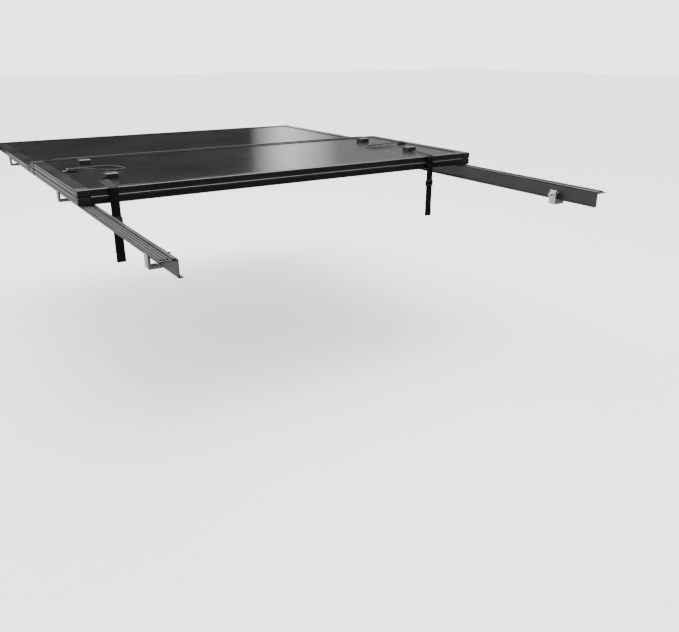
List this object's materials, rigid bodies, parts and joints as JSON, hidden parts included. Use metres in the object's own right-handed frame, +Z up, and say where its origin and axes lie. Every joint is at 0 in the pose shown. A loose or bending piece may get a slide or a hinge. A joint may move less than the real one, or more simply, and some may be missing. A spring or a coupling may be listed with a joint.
{
  "type": "tonneau cover",
  "caption": "Hard folding tonneau cover for a pickup bed, with hinged panels on clamp-on side rails, shown with the rear panel folded onto the middle one.",
  "frame": {"origin": "centre of the header seal's underside, where the cover sits on the bed's front wall", "axes": "+X to the truck's right, +Y towards the cab, +Z up; Z = 0 is the top of the bed rails"},
  "size_m": [1.72, 2.445, 0.277],
  "materials": {
    "panel_core": "foam core, hidden between the skins",
    "panel_skin": "semi-gloss black coated sheet",
    "frame_black": "satin black powder coat on extruded aluminium",
    "cap_plastic": "moulded black plastic",
    "rail_black": "satin black anodised extrusion",
    "clamp_aluminium": "cast, tumbled",
    "steel": "zinc plated",
    "rubber": "matte black rubber",
    "webbing": "woven black webbing",
    "moulded_plastic": "glass-filled black nylon",
    "cord": "braided dark grey cord"
  },
  "bodies": {
    "base": {"front_hinge_leaf_front": "frame_black", "front_hinge_pin_front": "steel", "front_panel_bolts": "steel", "front_panel_brackets": "clamp_aluminium", "front_panel_core": "panel_core", "front_panel_corner_caps": "cap_plastic", "front_panel_front_extrusion": "frame_black", "front_panel_left_extrusion": "frame_black", "front_panel_rear_extrusion": "frame_black", "front_panel_right_extrusion": "frame_black", "front_panel_skins": "panel_skin", "header_seal": "rubber", "rail_clamp_screws": "steel", "rail_clamps_left": "clamp_aluminium", "rail_clamps_right": "clamp_aluminium", "rail_seal_left": "rubber", "rail_seal_right": "rubber", "side_rail_left": "rail_black", "side_rail_right": "rail_black"},
    "bridge": {"front_hinge_bridge": "frame_black"},
    "middle_panel": {"front_hinge_leaf_middle": "frame_black", "front_hinge_pin_middle": "steel", "middle_panel_core": "panel_core", "middle_panel_corner_caps": "cap_plastic", "middle_panel_front_extrusion": "frame_black", "middle_panel_left_extrusion": "frame_black", "middle_panel_rear_extrusion": "frame_black", "middle_panel_right_extrusion": "frame_black", "middle_panel_skins": "panel_skin", "rear_hinge_leaf_middle": "frame_black", "rear_hinge_pin": "steel"},
    "rear_panel": {"latch_housing_left": "moulded_plastic", "latch_housing_right": "moulded_plastic", "latch_spring_left": "steel", "latch_spring_right": "steel", "rear_hinge_leaf_rear": "frame_black", "rear_panel_core": "panel_core", "rear_panel_corner_caps": "cap_plastic", "rear_panel_front_extrusion": "frame_black", "rear_panel_left_extrusion": "frame_black", "rear_panel_rear_extrusion": "frame_black", "rear_panel_right_extrusion": "frame_black", "rear_panel_skins": "panel_skin", "rubber_block_screws": "steel", "rubber_blocks": "rubber", "strap_anchor_left": "webbing", "strap_anchor_right": "webbing", "tailgate_seal": "rubber"},
    "latch_left": {"latch_bolt_left": "steel", "pull_cord_left": "cord"},
    "latch_right": {"latch_bolt_right": "steel", "pull_cord_right": "cord"},
    "strap_upper_left": {"strap_upper_left": "webbing"},
    "strap_upper_right": {"strap_upper_right": "webbing"},
    "strap_tail_left": {"strap_buckle_left": "moulded_plastic", "strap_tail_left": "webbing"},
    "strap_tail_right": {"strap_buckle_right": "moulded_plastic", "strap_tail_right": "webbing"}
  },
  "joints": [
    {"name": "front_fold", "type": "hinge", "parent": "base", "child": "bridge", "pos_m": [0, -0.8715, 0.028], "axis": [-1, 0, 0], "range_deg": [0, 90]},
    {"name": "front_fold_upper", "type": "hinge", "parent": "bridge", "child": "middle_panel", "pos_m": [0, -0.9235, 0.028], "axis": [-1, 0, 0], "range_deg": [0, 90]},
    {"name": "rear_fold", "type": "hinge", "parent": "middle_panel", "child": "rear_panel", "pos_m": [0, -1.686, 0.03275], "axis": [1, 0, 0], "range_deg": [0, 180]},
    {"name": "latch_slide_left", "type": "slide", "parent": "rear_panel", "child": "latch_left", "axis": [1, 0, 0], "range_m": [0, 0.01], "stiffness_N_per_m": 400, "springref_m": -0.01, "deforming": ["latch_spring_left"]},
    {"name": "strap_hang_left", "type": "hinge", "parent": "rear_panel", "child": "strap_upper_left", "pos_m": [-0.742, -1.6922, 0.0609], "axis": [1, 0, 0], "range_deg": [-180, 0]},
    {"name": "strap_wrap_left", "type": "hinge", "parent": "strap_upper_left", "child": "strap_tail_left", "pos_m": [-0.742, -1.6912, 0], "axis": [1, 0, 0], "range_deg": [0, 90]},
    {"name": "latch_slide_right", "type": "slide", "parent": "rear_panel", "child": "latch_right", "axis": [-1, 0, 0], "range_m": [0, 0.01], "stiffness_N_per_m": 400, "springref_m": -0.01, "deforming": ["latch_spring_right"]},
    {"name": "strap_hang_right", "type": "hinge", "parent": "rear_panel", "child": "strap_upper_right", "pos_m": [0.622, -1.6922, 0.0609], "axis": [1, 0, 0], "range_deg": [-180, 0]},
    {"name": "strap_wrap_right", "type": "hinge", "parent": "strap_upper_right", "child": "strap_tail_right", "pos_m": [0.622, -1.6912, 0], "axis": [1, 0, 0], "range_deg": [0, 90]}
  ],
  "couplings": [
    {"joint": "front_fold_upper", "follows": "front_fold", "ratio": 1},
    {"joint": "strap_wrap_left", "follows": "front_fold", "ratio": 1},
    {"joint": "strap_hang_left", "follows": "rear_fold", "ratio": -1},
    {"joint": "strap_wrap_right", "follows": "front_fold", "ratio": 1},
    {"joint": "strap_hang_right", "follows": "rear_fold", "ratio": -1}
  ]
}
